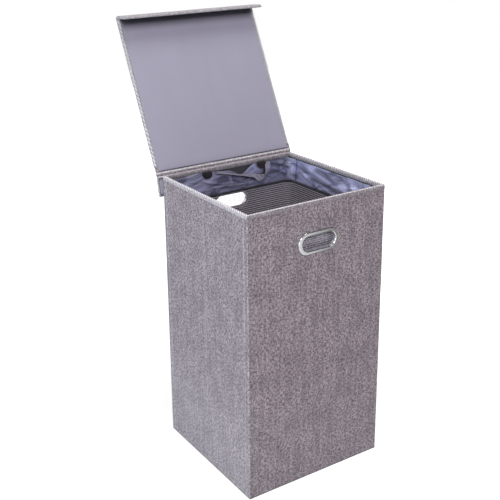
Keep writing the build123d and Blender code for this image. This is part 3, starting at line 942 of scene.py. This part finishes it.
tab_xs = [v.co.x for v in frame["nodes"]["liner_tabs_rear"].data.vertices if v.co.x > 0]
TAB_WIDTH, TAB_OFFSET = max(tab_xs) - min(tab_xs), (max(tab_xs) + min(tab_xs)) / 2
for end_name, end in (("rear", 1), ("front", -1)):
    tab_low, tab_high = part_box(f"liner_tabs_{end_name}")
    inner, outer = sorted((abs(tab_low.y), abs(tab_high.y)))
    for side_name, side in (("left", -1), ("right", 1)):
        x = side * TAB_OFFSET + (TAB_SHIFT if end > 0 else 0)
        tilt = 0.8 * MM * side
        centres = [
            (x, end * (outer - 1.0 * MM), tab_high.z - 2.5 * MM),
            (x, end * (outer - 2.2 * MM), tab_high.z - 0.7 * MM),
            (x, end * (inner + 1.2 * MM), tab_high.z - 1.2 * MM),
            (x + tilt * 0.4, end * (inner - 0.6 * MM), tab_high.z - 5 * MM),
            (x + tilt * 0.8, end * (inner - 1.2 * MM), tab_high.z - 11 * MM),
            (x + tilt, end * (inner - 0.5 * MM), tab_low.z),
        ]
        ways = [(1, 0, 0.03 * side)] * len(centres)
        tab, long = ribbon(f"liner_tab_{end_name}_{side_name}", centres, ways, TAB_WIDTH, 1.1 * MM, 5, 9 * MM)
        dress(tab, "hook", "fastener_tape", f"liner_tabs_{end_name}")

strap_low, strap_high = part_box("liner_strap")
strap_left, strap_right = strap_high.copy(), strap_high.copy()
strap_left.x = strap_low.x + STRAP_WIDTH / 2
strap_right.x -= STRAP_WIDTH / 2
dip = (strap_low.z - strap_high.z) / MM
# in mm from the upper ends of the strap's middle line
left_steps = (0, 0.5, -3), (18, -2, -7), (55, -5, -17), (90, -4.5, -25)
right_steps = (-24, -4, dip + 8), (-6, -4, dip + 10), (0, -3.5, -22), (1, -2.5, -8), (0, 0.5, -1)
strap_centres = [strap_left + MM * Vector(step) for step in left_steps]
strap_centres += [strap_right + MM * Vector(step) for step in right_steps]
strap_ways = [
    (0.1, 1, 0.2), (0.1, 1, 0.1), (0.1, 1, 0.0), (0.2, 1, 0.35), (0.15, 0.3, 1),
    (0.7, 0.1, 0.7), (1, 0.2, 0.1), (1, 0.1, -0.05), (1, 0, 0),
]
strap, strap_long = ribbon("liner_strap_cloth", strap_centres, strap_ways, STRAP_WIDTH, 0.7 * MM)
dress(strap, "strap", "liner_satin", "liner_strap")


# ---- lid, lip and hinge cloth ----
def columns(half, margins, gap, step):
    """Positions across a piece that wide: at the margins from both edges, and evenly from gap inwards."""
    edges = [end * (half - d) for end in (-1, 1) for d in margins]
    return np.array(sorted({*edges, *ladder(gap - half, half - gap, step)}))


def at_middle(place, q, h=0.0):
    """The point that place gives on the middle line."""
    return Vector(place(*np.array([[0.0], [q], [h]]))[0])


def inside_edge(x, q):
    """How far inside the edge of the lid's cloth a spot is."""
    return np.minimum(LID_HALF - np.abs(x), LEAF_END - q)


def leaf_swell(solid, flat):
    """Cloth over the board, puckered a little, with a puffed hem along its sides and the lip's edge."""
    x, q, h = flat.T
    face = np.where(h > LID_THICK / 2, 1, -1)
    from_edge = inside_edge(x, q)
    hem = np.sin(pi * np.clip((LID_BORDER - from_edge) / LID_BORDER, 0, 0.86))
    rope = 0.85 + 0.15 * np.cos(2 * pi * (q + x) / STITCH_PITCH)
    pucker = 0.18 * MM * wobble(x, q, 20 * h, 55 * MM, 6.0)
    lip_puff = 1.4 * smooth((q - LIP_START) / (12 * MM)) * smooth((LEAF_END - q) / (4 * MM))
    ripple = 0.25 * MM * wobble(q * 3, x * 0.2, 0 * x, 18 * MM, 2.0)
    solid[:, 2] += face * (pucker + HEM_PUFF * np.maximum(hem * rope, lip_puff))
    solid[:, 0] += np.where(from_edge < 1 * MM, ripple * np.sign(x), 0)
    return solid


def leaf_wear_and_painted_light(flat, edge):
    """Light, rope-like turned hem inside; outside, the cloth is worn lighter along its edges, and the lip is
    lighter as painted light from above.
    """
    x, q, h = flat.T
    hem = bell(inside_edge(x, q), 0.4 * LID_BORDER, 0.42 * LID_BORDER)
    lip = smooth((q - LID_REACH) / ARC_LENGTH)
    return np.where(h < LID_THICK / 2, 1.5 * hem, np.maximum(0.8 * edge, 0.47 * lip))


leaf_columns = columns(LID_HALF, (0, 0.8 * MM, 2 * MM, 3.5 * MM, 5 * MM, LID_BORDER), 9 * MM, 8 * MM)
leaf_rows = np.concatenate([
    ladder(LEAF_START, LID_REACH - 4 * MM, 7 * MM), LID_REACH + np.array([-2, -0.5]) * MM,
    LID_REACH + ARC_LENGTH * np.linspace(0, 1, 9), LIP_START + np.array([0.5, 2, 5]) * MM,
    ladder(LIP_START + 9 * MM, LEAF_END - 2 * MM, 6 * MM), LEAF_END + np.array([-0.8, 0]) * MM,
])
leaf_levels = np.linspace(LID_SKIN, LID_THICK, 5)
leaf = rounded_slab(
    "lid_cloth_wrap", leaf_columns, leaf_rows, leaf_levels, EDGE_RADIUS, lid_place, leaf_swell, leaf_wear_and_painted_light
)
FOLD_START, FOLD_END = at_middle(lid_place, LID_REACH, LID_THICK), at_middle(lid_place, LIP_START, LID_THICK)
dress(leaf, "lid", "lid_cloth", "lid_cover", "lid_fold_roll", "lip_cover", body=None)
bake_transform(leaf)
LEAF_END - LEAF_START

lining_rows = np.concatenate([
    LINING_START + np.array([0, 0.8, 1.6, 2.4, 3.4]) * MM,
    ladder(LINING_START + 6 * MM, LID_REACH - 5 * MM, 8 * MM),
    LID_REACH + np.array([-3, -1.5, -0.5]) * MM, LID_REACH + ARC_LENGTH * np.linspace(0.1, 0.9, 5),
    LIP_START + np.array([0.5, 1.5, 3]) * MM, ladder(LIP_START + 6 * MM, LEAF_END - 3 * MM, 8 * MM),
])
# the lining's foot gets a painted dark line, the crease's shade at the hinge
lid_lining = rounded_slab(
    "lid_lining_cloth", columns(LINING_HALF, (0, 0.5 * MM), 4 * MM, 9 * MM), lining_rows,
    np.array([-0.1, 0.25, 0.7]) * MM, 0.35 * MM, lid_place, lumpy(-0.1 * MM, 70 * MM, (1, 0.5, 0), 3.0),
    lambda flat, edge: bell(flat[:, 1], LINING_START + 0.6 * MM, 1.6 * MM),
)
dress(lid_lining, "lining", "lid_lining", "lid_lining", "lip_lining", body=None)
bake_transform(lid_lining)
LEAF_END - LEAF_START

lining_edge = []
for side in (-1, 1):
    for q in np.arange(LEAF_START + 4 * MM, LID_REACH - 3 * MM, STITCH_PITCH):
        spot = at_middle(lid_place, q)
        onward, out = at_middle(lid_place, q + 1 * MM) - spot, at_middle(lid_place, q, -1 * MM) - spot
        spot.x = side * (LINING_HALF - 2.2 * MM)
        lining_edge.append((spot + out * 0.1, onward.normalized(), out.normalized()))
edge_stitches = stitches("lid_lining_stitches", lining_edge, 3.0 * MM, 0.25 * MM)
dress(edge_stitches, "thread", "lid_lining", body="lid")

# ---- flap, its strips and the hinge cloth ----
board_y, board_z = side_view("flap_board", HINGE)
far = np.hypot(board_y, board_z) > np.hypot(board_y, board_z).mean()
FLAP_LEAN = atan2(board_y[~far].mean() - board_y[far].mean(), board_z[~far].mean() - board_z[far].mean())
flap_board_high = span("flap_board", HINGE, FLAP_LEAN)[1]
hook_low, hook_high = span("flap_hook_strip", HINGE, FLAP_LEAN)
FLAP_LENGTH, FLAP_HALF = -span("flap_cover", HINGE, FLAP_LEAN)[0][1], -hook_high[0]
FLAP_NECK = -flap_board_high[1] - (FLAP_HALF - flap_board_high[0])
ROLL_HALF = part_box("flap_cover")[1].z - HINGE.z


def flap_place(x, d, h):
    """Points of the flap: d down from the hinge line, h out from its middle towards the rear."""
    y, z = turned(h, -d, -FLAP_LEAN)
    return points(x, HINGE.y + y, HINGE.z + z)


flap_rows = ladder(FLAP_NECK - 1 * MM, FLAP_LENGTH, 5 * MM, (FLAP_NECK, FLAP_LENGTH - 1 * MM))
flap = rounded_slab(
    "flap_cloth", leaf_columns, flap_rows, np.linspace(-FLAP_HALF, FLAP_HALF, 5), EDGE_RADIUS, flap_place,
    wear_and_painted_light=lambda flat, edge: 0.6 * edge,
)
dress(flap, "cover", "cover_cloth", "flap_cover")

flap_lining = rounded_slab(
    "flap_lining_cloth", leaf_columns[3:-3], ladder(FLAP_NECK + 3 * MM, FLAP_LENGTH - 2 * MM, 6 * MM),
    np.linspace(-FLAP_HALF - 0.35 * MM, -FLAP_HALF + 0.4 * MM, 3), 0.3 * MM, flap_place,
)
dress(flap_lining, "flap", "lid_lining")
FLAP_LENGTH - FLAP_NECK

strip_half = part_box("flap_hook_strip")[1].x
hook_strip = rounded_slab(
    "hook_strip", ladder(-strip_half, strip_half, 6 * MM), ladder(-hook_high[1], -hook_low[1], 3 * MM),
    np.linspace(hook_low[0], hook_high[0] + 0.1 * MM, 3), 0.5 * MM, flap_place,
    lumpy(0.2 * MM, 7 * MM, on_face=lambda h: h < -FLAP_HALF),
)
dress(hook_strip, "hook", "fastener_tape", "flap_hook_strip")
hook_high[1] - hook_low[1]

loop_low, loop_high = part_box("wall_loop_strip")
loop_strip = rounded_slab(
    "loop_strip", ladder(loop_low.x, loop_high.x, 6 * MM), ladder(loop_low.z, loop_high.z, 3 * MM),
    np.linspace(0, loop_high.y - loop_low.y, 3), 0.5 * MM, lambda x, z, h: points(x, loop_low.y + h, z),
    lumpy(-0.2 * MM, 5 * MM, middle=0.5, on_face=lambda h: h > 0),
)
dress(loop_strip, "loop", "loop_tape", "wall_loop_strip")


def crease_place(x, q, h):
    """q runs from the flap (below 0) to the lid (above 0); h is off the middle, towards the rear."""
    h = h * (1 + (h > 0) * (ROLL_HALF / HINGE_CLOTH_HALF - 1) * np.exp(-((q / ROLL_WIDTH) ** 4)))
    y, z = turned(-q, h, -LID_OPEN)
    share = smooth((q + 3 * MM) / (6 * MM))[:, None]
    return flap_place(x, -q, h) * (1 - share) + points(x, y + HINGE.y, z + HINGE.z) * share


def crease_point(q):
    return at_middle(crease_place, q)


beyond_roll = np.linspace(7 * MM, HINGE_CLOTH_LONG + 1 * MM, 5)
hinge_rows = np.concatenate([[-FLAP_NECK - 1 * MM], np.linspace(-5 * MM, 5 * MM, 15), beyond_roll])
hinge_levels = np.linspace(-0.8 * MM, 0.9 * MM, 4)
hinge_cloth = rounded_slab(
    "hinge_cloth", leaf_columns, hinge_rows, hinge_levels, 0.45 * np.ptp(hinge_levels), crease_place,
    lumpy(0.12 * MM, 14 * MM, (1, 2, 0), 4.0), lambda flat, edge: bell(flat[:, 1], 1.2 * MM, 1.5 * MM),
)
dress(hinge_cloth, "cover", "lid_cloth", body=None)
crease_point(-4 * MM)
crease_point(4 * MM)
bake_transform(hinge_cloth)

# ---- CAD nodes that show or stay inside ----
for node, obj in frame["nodes"].items():
    for word, material in (("board", "board"), ("frame", "chrome"), ("washer", "steel")):
        if word in node:
            clad(obj, material)

# ---- floor, light and camera ----
WHITE = (1, 1, 1, 1)
LAMP_TARGET = Vector((0, 0, 0.4))
FLOOR_ENDS = np.array([-4, 4])
FLOOR_SHADE = 0.8


def floor_material():
    """A pale floor, white to the camera but for the object's shadow; metal sees a dark stripe across it."""
    t = Tree("floor_white")
    place = t.place()
    grain = t.noise(place, (3.0, 3.0), 3.0, 0.5, dimensions="3D")
    lit = t.add("BsdfDiffuse", t.mix(grain, (FLOOR_SHADE,) * 3, (FLOOR_SHADE * 1.02,) * 3))
    seen, mirrored = t.rays()
    x, y, _ = t.split(place)
    stripe = t.remap(abs(x + y * 0.765 - 0.15), 0.14, 0.31, 0.07, 0.85)
    far = t.add("VectorMath", place, out="Value", operation="LENGTH")
    glow = t.add("Emission", WHITE, seen * t.remap(far, 0.4, 1.2, 0.58, 1.0))
    plain = t.add("AddShader", lit, glow)
    return t.show(t.add("MixShader", mirrored, plain, t.add("Emission", WHITE, stripe)))


def area_light(name, way, distance, size, power, tint):
    """A round lamp that far from the middle of the object, in direction way, aimed at it."""
    light = bpy.data.lights.new(name, "AREA")
    light.shape, light.size, light.energy, light.color = "DISK", size, power, tint
    obj = linked(name, light)
    way = Vector(way).normalized()
    obj.location = LAMP_TARGET + way * distance
    obj.rotation_euler = (-way).to_track_quat("-Z", "Y").to_euler()


floor = cloth_grid("floor", lambda x, y: points(x, y, 0 * x), FLOOR_ENDS, FLOOR_ENDS)
floor.location.z = -0.2 * MM
floor.data.materials.append(floor_material())

area_light("key", (-0.49, -0.69, 0.53), 3.2, 0.5, 51, (1.0, 0.925, 0.95))
area_light("side", (-0.95, -0.12, 0.1), 3.2, 1.4, 38, (0.75, 0.91, 1.0))
area_light("top", (0.1, -0.05, 1.0), 3.0, 1.4, 38, (1.0, 1.0, 1.0))

# white to the camera; it lights the object from above and shows metal a bright left side
world = Tree("studio", world=True)
bpy.context.scene.world = world.material
way_x, _, way_z = world.split(world.add("TexCoord"))
seen, mirrored = world.rays()
ambient = world.remap(way_z, -0.2, 0.7, 0.08, 0.27) * world.remap(way_x, -1.0, 1.0, 1.2, 0.8)
in_metal = world.remap(way_x, -0.5, 0.6, 0.95, 0.15) * world.remap(abs(way_z - 0.1), 0.2, 0.5, 1.0, 0.3)
strength = world.add("Mix", mirrored, None, ambient, in_metal)
strength = world.add("Mix", seen, None, strength, 1.0)
world.show(world.add("Background", WHITE, strength), "OutputWorld")

turn = Matrix.Rotation(CAMERA_AZIMUTH, 3, "Z")
turn = turn @ Matrix.Rotation(pi / 2 - CAMERA_ELEVATION, 3, "X") @ Matrix.Rotation(CAMERA_ROLL, 3, "Z")
camera_data = bpy.data.cameras.new("camera")
camera = linked("camera", camera_data)
camera_data.sensor_width = 36.0
camera_data.lens = CAMERA_LENS
camera_data.shift_x, camera_data.shift_y = CAMERA_SHIFT
camera.matrix_world = Matrix.Translation(CAMERA_TARGET + turn @ CAMERA_OFFSET) @ turn.to_4x4()
bpy.context.scene.camera = camera
bpy.context.scene.view_settings.view_transform = "Standard"

bpy.context.view_layer.update()
